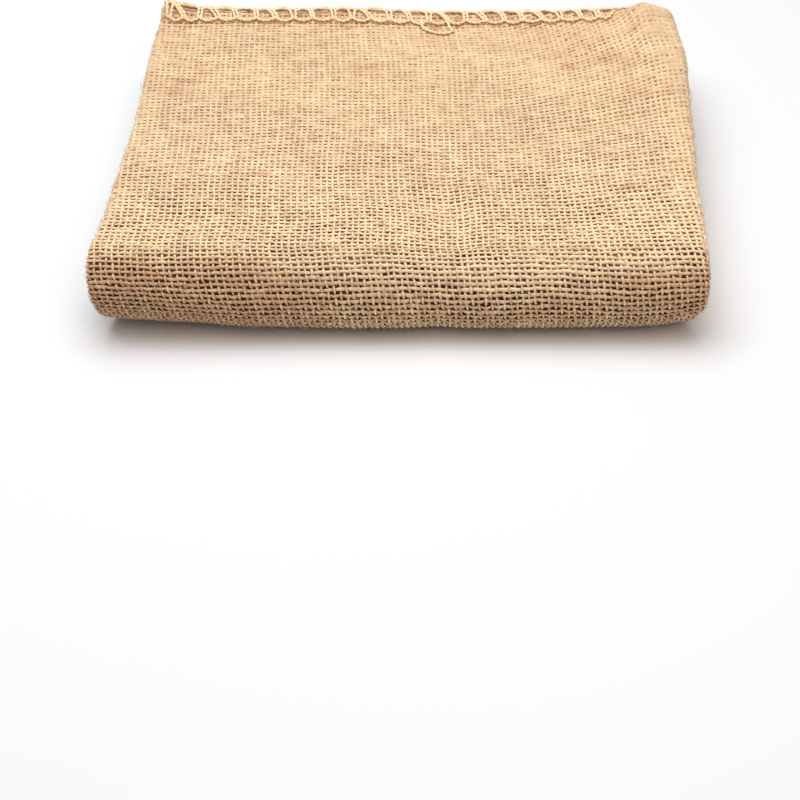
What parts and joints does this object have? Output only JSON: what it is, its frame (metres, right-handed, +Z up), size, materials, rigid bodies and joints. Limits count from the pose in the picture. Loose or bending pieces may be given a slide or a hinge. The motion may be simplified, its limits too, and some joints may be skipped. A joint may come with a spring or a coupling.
{
  "type": "folded jute sack",
  "caption": "Plain-weave jute sack, folded lengthwise and twice across for stacking, its whipped bottom seam on top at the back.",
  "frame": {"origin": "on the surface that the sack lies on, below the middle of its outline", "axes": "+X along the front fold, +Y from the front fold to the seam at the back, +Z up"},
  "size_m": [0.3185, 0.2471, 0.056],
  "materials": {
    "jute_cloth": "rough plain-woven jute, open weave, natural tan",
    "jute_twine": "rough twisted jute yarn, pale tan"
  },
  "bodies": {
    "root": {"sack_cloth": "jute_cloth", "seam_twine": "jute_twine"}
  },
  "joints": []
}
